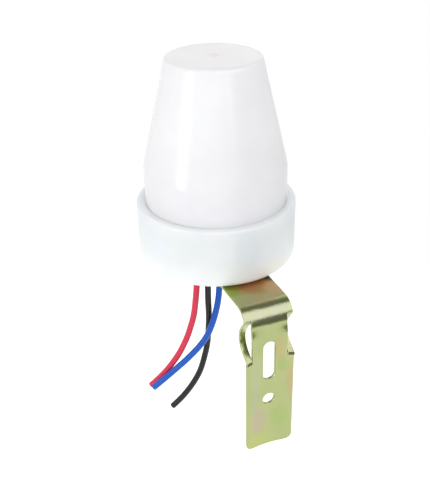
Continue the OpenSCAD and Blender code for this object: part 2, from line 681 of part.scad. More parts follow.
// One folded piece of sheet: strip under the cup, bend, dished leg and two ears bowed out of its edges
module bracket() {
    color("#c4bf86") translate([0, 0, hole_drop]) {
        difference() {
            union() {
                translate([-strip_w / 2, bend_r, -sheet_t])
                    cube([strip_w, leg_reach - bend_r + strip_tail, sheet_t]);
                bend();
                leg_loft();
            }
            translate([0, leg_reach, -sheet_t - overrun])
                cylinder(r = screw_hole_r, h = sheet_t + 2 * overrun, $fn = small_fn);
            translate([0, sheet_t + overrun, -hole_drop]) rotate([90, 0, 0])
                cylinder(d = hole_d, h = sheet_t + leg_dish + 2 * overrun, $fn = small_fn);
            for (z = [slot_drop + slot_w / 2, slot_drop + slot_l - slot_w / 2])
                translate([0, sheet_t + overrun, -z]) rotate([90, 0, 0])
                cylinder(d = slot_w, h = sheet_t + leg_dish + 2 * overrun, $fn = small_fn);
            translate([-slot_w / 2, -leg_dish - overrun, -slot_drop - slot_l + slot_w / 2])
                cube([slot_w, sheet_t + leg_dish + 2 * overrun, slot_l - slot_w]);
            for (k = [0, 1]) mirror([k, 0, 0]) {
                translate([notch_x, -leg_dish - overrun, -notch_low_drop])
                    cube([strip_w, bend_r + leg_dish + overrun, notch_low_drop - notch_top_drop]);
                translate([strip_w / 2, -leg_dish - overrun, -leg_drop]) rotate([-90, 0, 0])
                    corner_cut(leg_corner_r);
                translate([strip_w / 2, leg_reach + strip_tail, -sheet_t]) corner_cut(tail_corner_r);
            }
        }
        for (k = [0, 1]) mirror([k, 0, 0]) ear();
    }
}

// Fastening of the bracket

module bracket_screw() {
    color("silver") at_body() translate([0, 0, screw_seat])
        pan_screw(screw_d, screw_l, screw_head_d, screw_head_h);
}

// A flat ring under the strip, its upper face at z
module ring(d, t, z) {
    translate([0, 0, z - t]) difference() {
        cylinder(d = d, h = t, $fn = round_fn / 2);
        translate([0, 0, -overrun]) cylinder(r = screw_hole_r, h = t + 2 * overrun, $fn = small_fn);
    }
}

module flat_washer() {
    color("silver") at_body() ring(washer_d, washer_t, -sheet_t);
}

module lock_washer() {
    color("silver") at_body() difference() {
        ring(lock_d, lock_t, -sheet_t - washer_t);
        translate([0, -split_share * lock_d / 2, -sheet_t - washer_t - lock_t - overrun])
            cube([lock_d, split_share * lock_d, lock_t + 2 * overrun]);
    }
}

// Six-sided nut with its edges turned off at both faces
module bracket_nut() {
    corner_r = nut_af / sqrt(3);
    edge = (corner_r - nut_af / 2) * lead_in_share;
    color("silver") at_body() translate([0, 0, -sheet_t - washer_t - lock_t - nut_t]) difference() {
        intersection() {
            cylinder(r = corner_r, h = nut_t, $fn = 6);
            rotate_extrude($fn = small_fn * 2) polygon([[0, 0], [nut_af / 2, 0], [corner_r, edge],
                [corner_r, nut_t - edge], [nut_af / 2, nut_t], [0, nut_t]]);
        }
        translate([0, 0, -overrun]) cylinder(r = screw_hole_r, h = nut_t + 2 * overrun, $fn = small_fn);
    }
}

// Leads

// The smooth curve that a route's points pull along, met once at each point
function eased(p) = [for (i = [0:len(p) - 1])
    i == 0 || i == len(p) - 1 ? p[i] : (p[i - 1] + 4 * p[i] + p[i + 1]) / 6];

// Closed tube of the given radius along a line, its rings square to the line
module tube(line, r) {
    n = len(line);
    turns = [for (k = [0:lead_sides - 1]) k * 360 / lead_sides];
    rings = [for (i = [0:n - 1])
        let (d = unit(line[min(i + 1, n - 1)] - line[max(i - 1, 0)]))
        let (u = unit(cross(d, [0, 1, 0])), v = cross(d, u))
        [for (a = turns) line[i] + r * (u * cos(a) + v * sin(a))]];
    sides = [for (j = [0:n - 2], k = [0:lead_sides - 1])
        [j * lead_sides + k, j * lead_sides + (k + 1) % lead_sides,
            (j + 1) * lead_sides + (k + 1) % lead_sides, (j + 1) * lead_sides + k]];
    ends = [[for (k = [lead_sides - 1:-1:0]) k], [for (k = [0:lead_sides - 1]) (n - 1) * lead_sides + k]];
    polyhedron([for (g = rings) each g], concat(ends, sides), convexity = 10);
}

module lead_red() {
    color("#e84c63") at_body() tube(eased(route_red), lead_r);
}

module lead_black() {
    color("#2a2220") at_body() tube(eased(route_black), lead_r);
}

module lead_blue() {
    color("#2f6fd8") at_body() tube(eased(route_blue), lead_r);
}

base_cup();
cap();
circuit_board();
board_screws();
relay_case();
relay_pins();
photoresistor();
film_capacitor();
electrolytic_capacitor();
rectifier_diodes();
flyback_diode();
zener_diode();
series_resistor();
small_resistors();
transistor();
component_leads();
solder_joints();
bracket();
bracket_screw();
flat_washer();
lock_washer();
bracket_nut();
lead_red();
lead_black();
lead_blue();
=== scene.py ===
import math

import bpy
import numpy as np
from mathutils import Matrix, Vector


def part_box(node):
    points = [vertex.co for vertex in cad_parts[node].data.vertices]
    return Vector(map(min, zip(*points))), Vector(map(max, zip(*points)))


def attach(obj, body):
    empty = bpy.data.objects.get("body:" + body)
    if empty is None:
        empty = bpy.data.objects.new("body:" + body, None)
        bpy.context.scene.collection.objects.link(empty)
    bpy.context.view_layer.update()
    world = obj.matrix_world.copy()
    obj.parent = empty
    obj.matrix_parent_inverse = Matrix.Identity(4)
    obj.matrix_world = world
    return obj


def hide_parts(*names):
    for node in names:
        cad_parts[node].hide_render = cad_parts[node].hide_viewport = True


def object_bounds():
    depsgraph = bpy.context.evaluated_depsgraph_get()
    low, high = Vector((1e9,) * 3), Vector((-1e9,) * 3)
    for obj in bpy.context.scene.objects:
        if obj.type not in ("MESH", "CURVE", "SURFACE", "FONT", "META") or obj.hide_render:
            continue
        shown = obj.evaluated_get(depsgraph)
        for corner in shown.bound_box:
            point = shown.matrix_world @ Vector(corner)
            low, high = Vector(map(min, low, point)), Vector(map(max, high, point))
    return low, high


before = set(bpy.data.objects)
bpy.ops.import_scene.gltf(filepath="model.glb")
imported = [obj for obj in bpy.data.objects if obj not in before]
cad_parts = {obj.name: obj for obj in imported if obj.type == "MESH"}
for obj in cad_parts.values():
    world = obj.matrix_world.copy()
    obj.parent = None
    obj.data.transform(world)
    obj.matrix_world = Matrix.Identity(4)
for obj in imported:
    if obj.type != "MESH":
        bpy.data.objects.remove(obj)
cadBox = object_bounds()
print("frame loaded:", len(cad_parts), "CAD nodes")

mm = 0.001


# Camera: the place and the three directions were fitted to the outline of the body in the photograph

cameraSettings = {
    "place": (-109.06, -217.25, 203.95),    # mm, in the part's frame
    "forward": (0.3272, 0.8107, -0.4854),
    "up": (0.2012, 0.4421, 0.8741),
    "lens": 58.1,    # mm behind a sensor 36 mm tall
    "sensor": 36.0,
}


def addCamera(s):
    # The third direction is forward x up, and the camera looks along its own -Z
    f = np.array(s["forward"]) / np.linalg.norm(s["forward"])
    r = np.cross(f, s["up"])
    r /= np.linalg.norm(r)
    u = np.cross(r, f)
    data = bpy.data.cameras.new("camera")
    data.lens = s["lens"]
    data.sensor_width = s["sensor"]
    data.sensor_fit = "AUTO"
    data.clip_start = 0.01
    data.clip_end = 20.0
    cam = bpy.data.objects.new("camera", data)
    turn = np.eye(4)
    turn[:3, 0], turn[:3, 1], turn[:3, 2], turn[:3, 3] = r, u, -f, np.array(s["place"]) * mm
    cam.matrix_world = Matrix(turn.tolist())
    bpy.context.collection.objects.link(cam)
    bpy.context.scene.camera = cam


addCamera(cameraSettings)
print("camera placed")


# Where the body stands in the part's frame: its axis, and the underside of the cup

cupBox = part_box("base_cup")
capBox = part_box("cap")
axisX = (cupBox[0][0] + cupBox[1][0]) / 2
axisY = (cupBox[0][1] + cupBox[1][1]) / 2
cupFloorZ = cupBox[0][2]
cupRimZ = cupBox[1][2]
cupRadius = (cupBox[1][0] - cupBox[0][0]) / 2
bodyOrigin = np.array([axisX, axisY, cupFloorZ])


# Mesh making

def gridFaces(rows, columns):
    # Quads between neighbouring points of a rows x columns grid that is closed along its columns
    jj, ii = np.meshgrid(np.arange(rows - 1), np.arange(columns), indexing="ij")
    near, far = jj * columns, (jj + 1) * columns
    nextI = (ii + 1) % columns
    return np.stack([near + ii, near + nextI, far + nextI, far + ii], axis=-1).reshape(-1, 4)


def roundedLine(corners, radii, steps=6):
    # Each inner corner is replaced by an arc tangent to both sides: centre at r / sin(half angle)
    line = [np.array(corners[0], float)]
    for k in range(1, len(corners) - 1):
        a, b, c = (np.array(corners[m], float) for m in (k - 1, k, k + 1))
        r = radii[k]
        if r <= 0:
            line.append(b)
            continue
        u, v = (a - b) / np.linalg.norm(a - b), (c - b) / np.linalg.norm(c - b)
        half = math.acos(np.clip(u @ v, -1, 1)) / 2
        centre = b + (u + v) / np.linalg.norm(u + v) * r / math.sin(half)
        s, e = b + u * r / math.tan(half) - centre, b + v * r / math.tan(half) - centre
        start = math.atan2(s[1], s[0])
        turn = math.atan2(s[0] * e[1] - s[1] * e[0], s @ e)
        angle = start + turn * np.linspace(0, 1, steps + 1)
        line.extend(centre + r * np.stack([np.cos(angle), np.sin(angle)], axis=1))
    line.append(np.array(corners[-1], float))
    return np.array(line)


def spacedLine(line, gap):
    # Adds points so that no two neighbours are further apart than gap
    out = [line[0]]
    for a, b in zip(line[:-1], line[1:]):
        n = max(1, int(math.ceil(np.linalg.norm(b - a) / gap)))
        out.extend(a + (b - a) * k / n for k in range(1, n + 1))
    return np.array(out)


def joinFaces(name, points, quads, triangles, sharpAngle=None):
    # One mesh of quads and triangles, faced outward by the sign of the volume they enclose:
    # six volumes = sum of a . (b x c) over triangles
    split = np.concatenate([triangles, quads[:, [0, 1, 2]], quads[:, [0, 2, 3]]])
    p0, p1, p2 = (points[split[:, k]] for k in range(3))
    if (p0 * np.cross(p1, p2)).sum() < 0:
        quads, triangles = quads[:, ::-1], triangles[:, ::-1]
    mesh = bpy.data.meshes.new(name)
    mesh.from_pydata(points.tolist(), [], quads.tolist() + triangles.tolist())
    mesh.polygons.foreach_set("use_smooth", np.full(len(mesh.polygons), True))
    if sharpAngle is not None:
        mesh.set_sharp_from_angle(angle=math.radians(sharpAngle))
    mesh.update()
    piece = bpy.data.objects.new(name, mesh)
    bpy.context.collection.objects.link(piece)
    return piece


def ringArrays(rings):
    # Quads between neighbouring rings, and fans that close both ends onto the ring's middle
    count, around = rings.shape[:2]
    points = np.concatenate([rings.reshape(-1, 3), rings[:1].mean(axis=1), rings[-1:].mean(axis=1)])
    i = np.arange(around)
    first, last, end = count * around, count * around + 1, (count - 1) * around
    fans = np.concatenate([np.stack([np.full(around, first), (i + 1) % around, i], axis=1),
                           np.stack([np.full(around, last), end + i, end + (i + 1) % around], axis=1)])
    return points, gridFaces(count, around), fans


def ringSolid(name, rings, sharpAngle=35):
    # Closed skin through rings of points in millimetres, shape rings x around x 3
    points, quads, fans = ringArrays(rings)
    return joinFaces(name, points * mm, quads, fans, sharpAngle)


def roundRings(centres, sides, others, radii, around):
    # Rings of points: centre + radius * (side cos a + other sin a)
    a = 2 * np.pi * np.arange(around) / around
    spokes = np.cos(a)[:, None] * sides[:, None] + np.sin(a)[:, None] * others[:, None]
    return centres[:, None] + np.asarray(radii)[:, None, None] * spokes


def turned(name, profile, around=256, sharpAngle=40):
    # Surface of revolution about the body's axis: (r, z) goes to (r cos a, r sin a, z)
    inner = profile[1:-1]
    centres = np.stack([np.zeros(len(inner)), np.zeros(len(inner)), inner[:, 1]], axis=1) + bodyOrigin / mm
    one = np.ones((len(inner), 1))
    return ringSolid(name, roundRings(centres, one * [1.0, 0, 0], one * [0, 1.0, 0], inner[:, 0], around), sharpAngle)


def barRings(centres, normals, sides, loops):
    # A closed loop of (across, through) offsets carried along a line of centres:
    # point = centre + across * side + through * normal
    return centres[:, None] + loops[..., :1] * sides[:, None] + loops[..., 1:] * normals[:, None]


def roundedSection(halfWidth, halfThick, radius, across=24, corner=4):
    # Loop round a flat bar's section with rounded edges, with the same number of points for any width
    r = min(radius, halfWidth, halfThick)
    x = np.linspace(-(halfWidth - r), halfWidth - r, across)
    a = np.linspace(0, np.pi / 2, corner + 1)[1:-1]
    right, thick = halfWidth - r, halfThick - r
    return np.concatenate([
        np.stack([x, np.full(across, -halfThick)], axis=1),
        np.stack([right + r * np.sin(a), -thick - r * np.cos(a)], axis=1),
        [[halfWidth, -thick], [halfWidth, thick]],
        np.stack([right + r * np.cos(a), thick + r * np.sin(a)], axis=1),
        np.stack([x[::-1], np.full(across, halfThick)], axis=1),
        np.stack([-right - r * np.sin(a), thick + r * np.cos(a)], axis=1),
        [[-halfWidth, thick], [-halfWidth, -thick]],
        np.stack([-right - r * np.cos(a), -thick - r * np.sin(a)], axis=1),
    ])


def cut(piece, cutter, operation="DIFFERENCE"):
    # Takes the cutter out of the piece, or adds it, and leaves plain applied meshes
    mod = piece.modifiers.new("cut", "BOOLEAN")
    mod.operation = operation
    mod.object = cutter
    mod.solver = "EXACT"
    depsgraph = bpy.context.evaluated_depsgraph_get()
    made = bpy.data.meshes.new_from_object(piece.evaluated_get(depsgraph))
    piece.modifiers.remove(mod)
    old = piece.data
    piece.data = made
    bpy.data.meshes.remove(old)
    bpy.data.objects.remove(cutter)


def resharpen(piece, angle):
    # Smooth faces with sharp edges past the angle, after cutting
    piece.data.polygons.foreach_set("use_smooth", np.full(len(piece.data.polygons), True))
    piece.data.set_sharp_from_angle(angle=math.radians(angle))


# Materials

def linear(hexColour):
    # sRGB hex to the linear values that the shaders take
    c = np.array([int(hexColour[k:k + 2], 16) for k in (1, 3, 5)]) / 255
    c = np.where(c <= 0.04045, c / 12.92, ((c + 0.055) / 1.055) ** 2.4)
    return (*c.tolist(), 1.0)


def node(material, kind, settings=None, **links):
    # Adds a node, sets its attributes and sockets, and links the sockets given as (node, output)
    made = material.node_tree.nodes.new(kind)
    for key, value in (settings or {}).items():
        if isinstance(key, str) and hasattr(made, key) and key not in made.inputs:
            setattr(made, key, value)
        else:
            made.inputs[key].default_value = value
    for key, (source, output) in links.items():
        name = key.replace("_", " ")
        made_input = made.inputs[int(key[1:])] if key[0] == "i" and key[1:].isdigit() else made.inputs[name]
        material.node_tree.links.new(source.outputs[output], made_input)
    return made


def newMaterial(name):
    material = bpy.data.materials.new(name)
    material.use_nodes = True
    material.node_tree.nodes.clear()
    return material


def ramp(material, source, output, stops):
    # Colour ramp fed by a value, its stops given as (place, hex colour)
    made = node(material, "ShaderNodeValToRGB", Fac=(source, output))
    elements = made.color_ramp.elements
    while len(elements) > 1:
        elements.remove(elements[-1])
    elements[0].position, elements[0].color = stops[0][0], linear(stops[0][1])
    for place, colour in stops[1:]:
        elements.new(place).color = linear(colour)
    return made


def finishShader(material, shader):
    out = node(material, "ShaderNodeOutputMaterial")
    material.node_tree.links.new(shader.outputs[0], out.inputs["Surface"])
    return material


def noiseAt(material, perMetre, detail=3.0, roughness=0.5, stretch=(1, 1, 1)):
    # Noise on Object coordinates, its size given as cells per metre
    place = node(material, "ShaderNodeTexCoord")
    mapping = node(material, "ShaderNodeMapping", {"Scale": stretch}, Vector=(place, "Object"))
    return node(material, "ShaderNodeTexNoise",
                {"Scale": perMetre, "Detail": detail, "Roughness": roughness}, Vector=(mapping, "Vector"))


def paintedShadeByHeight(material, last, stops):
    # Multiplies the colour by a painted shade that depends on height alone: stops are (z in mm, hex colour)
    low, high = stops[0][0], stops[-1][0]
    place = node(material, "ShaderNodeTexCoord")
    parts = node(material, "ShaderNodeSeparateXYZ", Vector=(place, "Object"))
    up = node(material, "ShaderNodeMapRange", {"From Min": low * mm, "From Max": high * mm}, Value=(parts, "Z"))
    shade = ramp(material, up, "Result", [((z - low) / (high - low), colour) for z, colour in stops])
    mix = node(material, "ShaderNodeMix", {"data_type": "RGBA", "blend_type": "MULTIPLY", 0: 1.0},
               i6=last, i7=(shade, "Color"))
    return mix, 2


def softPatches(material, last, patches, wander, amount):
    # Lays patches over the colour. Each is a soft ellipsoid: centre and radii in millimetres of the part's
    # frame, its edge shifted by the wander noise: place = 2 * amount * noise + (position - centre) / radii - amount
    place = node(material, "ShaderNodeTexCoord")
    for centre, radii, tint, strength in patches.values():
        inside = node(material, "ShaderNodeMapping",
                      {"vector_type": "TEXTURE", "Location": [c * mm for c in centre], "Scale": [r * mm for r in radii]},
                      Vector=(place, "Object"))
        shift = node(material, "ShaderNodeVectorMath", {"operation": "MULTIPLY_ADD", 1: [amount * 2] * 3},
                     i0=(wander, "Color"), i2=(inside, "Vector"))
        centred = node(material, "ShaderNodeVectorMath", {"operation": "SUBTRACT", 1: [amount] * 3},
                       i0=(shift, "Vector"))
        ball = node(material, "ShaderNodeTexGradient", {"gradient_type": "SPHERICAL"}, Vector=(centred, "Vector"))
        mask = node(material, "ShaderNodeMapRange", {"interpolation_type": "SMOOTHSTEP", "From Min": 0.05,
                                                     "From Max": 0.6, "To Max": strength}, Value=(ball, "Fac"))
        mix = node(material, "ShaderNodeMix", {"data_type": "RGBA", 7: linear(tint)}, i0=(mask, "Result"), i6=last)
        last = (mix, 2)
    return last


# Milky polypropylene, injection moulded: light goes a few millimetres in and comes back soft, under a glossy
# skin that is slightly uneven from shrinkage. Painted shade in its colour makes it greyer low down above the
# board, and on the top face
capLook = {"milk": "#F1F1F4", "cloud": "#EEEDEF", "cloudSize": 16.0, "rippleSize": 9.0, "depth": 2.2, "within": 0.35,
           "gloss": 0.2,
           # Painted shade by height: greyer low down and on the top face
           "heights": [(62.0, "#F5F5F6"), (73.0, "#F7F7F8"), (84.0, "#FAFAFA"), (98.0, "#FFFFFF"),
                       (122.6, "#FFFFFF"), (123.5, "#F8F6F5"), (124.0, "#F8F6F5")]}
capPatches = {"gateScar": ((0.0, 50.6, 123.5), (3.0, 3.0, 3.0), "#DAD6D4", 0.5)}


def milkyCap(s, patches):
    m = newMaterial("milkyPolypropyleneMoulded")
    cloud = noiseAt(m, 1000 / s["cloudSize"], 2.0)
    milk = ramp(m, cloud, "Fac", [(0.35, s["cloud"]), (0.65, s["milk"])])
    withPaintedShade = paintedShadeByHeight(m, (milk, "Color"), s["heights"])
    colour = softPatches(m, withPaintedShade, patches, cloud, 0.05)
    ripple = noiseAt(m, 1000 / s["rippleSize"], 1.0)
    bump = node(m, "ShaderNodeBump", {"Strength": 0.06, "Distance": 0.0003}, Height=(ripple, "Fac"))
    shader = node(m, "ShaderNodeBsdfPrincipled",
                  {"Roughness": s["gloss"], "IOR": 1.49, "Subsurface Weight": s["within"],
                   "Subsurface Radius": (1.0, 0.95, 0.9), "Subsurface Scale": s["depth"] * mm},
                  Base_Color=colour, Normal=(bump, "Normal"))
    return finishShader(m, shader)


# Translucent natural polypropylene, injection moulded: cooler than the cap, with a satin skin. Painted shade
# darkens the wall above its foot and tints it bluish where the relay stands behind it, a painted warm light lies
# low on the right beside the bracket, and the left side is cooler
cupLook = {"wall": "#EEF1F2", "deep": "#E8ECEE", "cloudSize": 22.0, "grainSize": 0.7, "depth": 3.2, "within": 0.4,
           "gloss": 0.28,
           # Painted shade by height: darker up the wall than at the foot
           "heights": [(42.0, "#FFFFFF"), (46.0, "#FFFFFF"), (52.0, "#F9F9F9"), (60.0, "#F6F7F7"), (66.2, "#F9F9F9")]}
cupPatches = {
    # Painted shade of the relay behind the wall
    "paintedShadeOfRelay": ((-1.0, 18.8, 57.5), (7.5, 9.0, 11.0), "#C6D4E0", 0.24),
    "coolLeft": ((-29.9, 39.8, 56.0), (8.0, 12.0, 10.0), "#DEE9F2", 0.35),
    # Painted warm light low on the right, beside the bracket
    "paintedLightLow": ((11.5, 20.5, 45.5), (12.0, 8.0, 6.0), "#F0EDE0", 0.5),
}


def cupPlastic(s, patches):
    m = newMaterial("naturalPolypropyleneMoulded")
    cloud = noiseAt(m, 1000 / s["cloudSize"], 2.0)
    wall = ramp(m, cloud, "Fac", [(0.35, s["deep"]), (0.6, s["wall"])])
    withPaintedShade = paintedShadeByHeight(m, (wall, "Color"), s["heights"])
    colour = softPatches(m, withPaintedShade, patches, cloud, 0.2)
    grain = noiseAt(m, 1000 / s["grainSize"], 2.0)
    bump = node(m, "ShaderNodeBump", {"Strength": 0.05, "Distance": 0.0001}, Height=(grain, "Fac"))
    shader = node(m, "ShaderNodeBsdfPrincipled",
                  {"Roughness": s["gloss"], "IOR": 1.49, "Subsurface Weight": s["within"],
                   "Subsurface Radius": (0.9, 1.0, 1.05), "Subsurface Scale": s["depth"] * mm},
                  Base_Color=colour, Normal=(bump, "Normal"))
    return finishShader(m, shader)


# Cold-rolled steel, zinc plated and yellow passivated: a thin film, yellow-green where it is even and
# brown, tan or rose in broad patches where it is thicker, with faint rolling lines along the strip.
# Some patches are painted light: painted shade under the cup, and a cream painted highlight colour on the bend and the
# ears
steelLook = {"film": "#A6AB79", "filmTwo": "#9DA974", "gloss": 0.22, "patchSize": 18.0, "rollSize": 0.3,
             "waveSize": 5.0, "wanderSize": 7.0, "wander": 0.3}
steelPatches = {
    # Brown film colour under the cup, darkened by painted shade
    "brownAndPaintedShadeUnderCup": ((0.5, 18.5, 42.0), (12.0, 9.0, 6.0), "#B27D4C", 0.9),
    "greenAtEdge": ((-8.5, 18.5, 42.0), (5.5, 9.0, 4.0), "#8C9D3D", 0.8),
    "tanOnStrip": ((8.5, 13.0, 42.0), (6.5, 7.5, 5.0), "#C99E78", 0.7),
    "greyOnStrip": ((-1.0, 8.0, 42.0), (12.0, 5.0, 5.0), "#B4A279", 0.75),
    # Cream painted highlight colour where the bend and the ears reflect the overhead lamp
    "paintedHighlightOnBend": ((0.0, 1.8, 39.5), (17.0, 3.8, 4.0), "#A4A58C", 0.95),
    "paintedHighlightOnLeftEar": ((-8.8, 1.0, 22.0), (3.2, 4.5, 5.5), "#B6B691", 0.7),
    "paintedHighlightOnRightEar": ((8.8, 1.0, 22.0), (3.2, 4.5, 5.5), "#B2B28D", 0.7),
    # Painted shade in the corner under the cup
    "paintedShadeUnderCup": ((9.8, 21.5, 42.0), (4.0, 5.5, 4.0), "#61614E", 0.9),
    "greyMiddle": ((-5.5, 0.0, 14.0), (3.5, 6.0, 12.0), "#AAAC8F", 0.45),
    "greyByHole": ((-6.0, 0.0, 2.0), (2.8, 6.0, 8.0), "#A4A48F", 0.55),
    "roseLow": ((-4.2, 0.0, -9.5), (4.8, 6.0, 9.5), "#AC9A8F", 0.55),
    "tanBySlot": ((4.4, 0.0, 24.0), (2.6, 6.0, 9.0), "#B19C72", 0.5),
    "tanAtEdge": ((9.2, 0.0, 7.5), (3.0, 6.0, 11.5), "#B29977", 0.5),
    "greenBySlot": ((5.6, 0.0, 15.5), (2.6, 6.0, 5.0), "#92A66C", 0.6),
    "greenLow": ((4.5, 0.0, -9.0), (5.5, 6.0, 9.0), "#96A967", 0.6),
    "yellowFoot": ((-5.0, 0.0, -21.0), (8.0, 6.0, 6.0), "#AAB265", 0.5),
}


def passivatedSteel(s, patches):
    m = newMaterial("zincPassivatedSteelRolled")
    broad = noiseAt(m, 1000 / s["patchSize"], 3.0, 0.55)
    colour = ramp(m, broad, "Fac", [(0.35, s["filmTwo"]), (0.62, s["film"])])
    wander = noiseAt(m, 1000 / s["wanderSize"], 2.0, 0.5)
    tinted = softPatches(m, (colour, "Color"), patches, wander, s["wander"])
    rolling = noiseAt(m, 1000 / s["rollSize"], 2.0, 0.5, stretch=(1, 0.03, 0.03))
    fine = node(m, "ShaderNodeBump", {"Strength": 0.1, "Distance": 0.00003}, Height=(rolling, "Fac"))
    wave = noiseAt(m, 1000 / s["waveSize"], 2.0)
    bump = node(m, "ShaderNodeBump", {"Strength": 0.5, "Distance": 0.0003},
                Height=(wave, "Fac"), Normal=(fine, "Normal"))
    shader = node(m, "ShaderNodeBsdfPrincipled", {"Metallic": 1.0, "Roughness": s["gloss"]},
                  Base_Color=tinted, Normal=(bump, "Normal"))
    return finishShader(m, shader)


# Soft PVC insulation, extruded: even colour with faint draw lines along the wire and a dull gloss
leadLook = {
    "lead_red": {"colour": "#E33355", "shade": "#CA2945"},
    "lead_black": {"colour": "#17110F", "shade": "#0D0A09"},
    "lead_blue": {"colour": "#0B5ECB", "shade": "#094FB2"},
}


def wirePlastic(name, s):
    m = newMaterial("pvcExtruded_" + name)
    place = node(m, "ShaderNodeUVMap", {"uv_map": "along"})
    mapping = node(m, "ShaderNodeMapping", {"Scale": (40.0, 120.0, 1.0)}, Vector=(place, "UV"))
    lines = node(m, "ShaderNodeTexNoise", {"Scale": 1.0, "Detail": 2.0}, Vector=(mapping, "Vector"))
    colour = ramp(m, lines, "Fac", [(0.3, s["shade"]), (0.7, s["colour"])])
    bump = node(m, "ShaderNodeBump", {"Strength": 0.1, "Distance": 0.00005}, Height=(lines, "Fac"))
    shader = node(m, "ShaderNodeBsdfPrincipled", {"Roughness": 0.24, "IOR": 1.38},
                  Base_Color=(colour, "Color"), Normal=(bump, "Normal"))
    return finishShader(m, shader)


# Everything else is small: a main colour and a second one that noise mixes in at a real grain size
smallLooks = {
    "circuit_board": ("paperLaminatePressed", "#B98F52", "#A87F45", 1.2, 0.0, 0.6),
    "board_screws": ("zincPlatedSteelHeaded", "#C9CCD0", "#B5B9BE", 0.6, 1.0, 0.3),
    "relay_case": ("bluePolyesterMoulded", "#2A62A8", "#235592", 0.8, 0.0, 0.35),
    "relay_pins": ("tinnedCopperDrawn", "#D0D2D4", "#BDBFC2", 0.4, 1.0, 0.25),
    "photoresistor": ("cadmiumCeramicFired", "#C67A38", "#A9602A", 0.3, 0.0, 0.3),
    "film_capacitor": ("redPolyesterMoulded", "#A8372A", "#93301F", 0.8, 0.0, 0.4),
    "electrolytic_capacitor": ("vinylSleeveShrunk", "#1B2430", "#27323F", 1.5, 0.0, 0.3),
    "rectifier_diodes": ("blackEpoxyMoulded", "#232326", "#19191B", 0.4, 0.0, 0.5),
    "flyback_diode": ("blackEpoxyMoulded2", "#232326", "#19191B", 0.4, 0.0, 0.5),
    "zener_diode": ("glassBodyFused", "#B9561F", "#D2752F", 0.5, 0.0, 0.12),
    "series_resistor": ("blueLacquerDipped", "#6F8FAB", "#62829E", 0.6, 0.0, 0.3),
    "small_resistors": ("tanLacquerDipped", "#C4AC7F", "#B39B6C", 0.5, 0.0, 0.3),
    "transistor": ("blackEpoxyMoulded3", "#202022", "#17171A", 0.4, 0.0, 0.5),
    "component_leads": ("tinnedCopperDrawn2", "#D0D2D4", "#BDBFC2", 0.4, 1.0, 0.25),
    "solder_joints": ("tinSolderFlowed", "#C2C5C8", "#A9ADB1", 0.5, 1.0, 0.2),
    "flat_washer": ("zincPlatedSteelPressed", "#C6CACD", "#B0B4B9", 0.6, 1.0, 0.32),
    "lock_washer": ("zincPlatedSpringSteel", "#B9BDC1", "#A2A7AC", 0.6, 1.0, 0.34),
    "bracket_nut": ("zincPlatedSteelForged", "#C9CCD0", "#B2B6BB", 0.6, 1.0, 0.3),
}


def smallMaterial(name, main, second, grain, metallic, roughness):
    m = newMaterial(name)
    noise = noiseAt(m, 1000 / grain, 3.0)
    colour = ramp(m, noise, "Fac", [(0.35, second), (0.65, main)])
    bump = node(m, "ShaderNodeBump", {"Strength": 0.1, "Distance": 0.00003}, Height=(noise, "Fac"))
    shader = node(m, "ShaderNodeBsdfPrincipled", {"Metallic": metallic, "Roughness": roughness},
                  Base_Color=(colour, "Color"), Normal=(bump, "Normal"))
    return finishShader(m, shader)


def giveMaterial(piece, material):
    # The faces' own slot numbers stay as they are
    if len(piece.data.materials):
        piece.data.materials[0] = material
    else:
        piece.data.materials.append(material)


# Leads: the routes of the part's source, in millimetres from the body's axis and the cup's underside

leadRoutes = {
    "lead_red": [(-4.8, 12.5, 12), (-4.8, 12.5, 6), (-4.8, 12.5, 0), (-4.8, 12.5, -6), (-4.5, 12.5, -11.5),
                 (-4.5, 12.5, -17.5), (-5, 12.5, -23), (-5.5, 12.5, -29), (-6, 13, -34.5), (-6.5, 13.5, -40.5),
                 (-8, 14, -46), (-9.5, 14.5, -51.5), (-11.5, 15.5, -57), (-13.5, 16.5, -62), (-16.5, 17.5, -67),
                 (-19.5, 19, -72), (-23, 20.5, -76.5), (-26.5, 22, -80.5)],
    "lead_black": [(0, 12.5, 12), (0, 12.5, 6), (0, 12.5, 0), (0, 12.5, -7), (0, 12.5, -13.5),
                   (0, 12.5, -20.5), (0.5, 13, -27), (0.5, 13.5, -34), (1, 14, -41), (1, 14.5, -47.5),
                   (0.5, 14.5, -54.5), (0, 15, -61), (-1.5, 15.5, -67.5), (-3, 16, -74), (-5.5, 17, -80),
                   (-8.5, 18.5, -86), (-12, 20, -91.5), (-16.5, 21.5, -96.5)],
    "lead_blue": [(4.8, 12.5, 12), (4.8, 12.5, 6), (4.8, 12.5, 0), (4.8, 12.5, -6), (5, 12.5, -12),
                  (5.5, 12, -18), (5.5, 11.5, -24), (5, 11, -30), (4, 10.5, -35.5), (2.5, 10.5, -41.5),
                  (0.5, 10.5, -47.5), (-2, 11, -53), (-5.5, 12, -58), (-9.5, 13, -62.5), (-13.5, 14, -66.5),
                  (-18, 15.5, -71), (-22.5, 16.5, -75), (-26.5, 18, -79)],
}
leadSettings = {"diameter": 2.9, "exitPoint": 2, "perSpan": 8, "around": 28, "coreDiameter": 1.4, "strands": 7}


def splineLine(route, perSpan):
    # Uniform cubic B-spline of the route, with its end points doubled so that it starts and ends there:
    # each point is (1-t)^3, 3t^3-6t^2+4, -3t^3+3t^2+3t+1 and t^3 sixths of four neighbours
    p = np.array(route, float)
    p = np.vstack([2 * p[0] - p[1], p, 2 * p[-1] - p[-2]])
    t = (np.arange(perSpan) / perSpan)[:, None]
    weights = np.stack([(1 - t) ** 3, 3 * t ** 3 - 6 * t ** 2 + 4, -3 * t ** 3 + 3 * t ** 2 + 3 * t + 1, t ** 3]) / 6
    spans = np.stack([p[:-3], p[1:-2], p[2:-1], p[3:]])
    line = (weights[:, None] * spans[:, :, None]).sum(axis=0).reshape(-1, 3)
    return np.vstack([line, p[-2]])


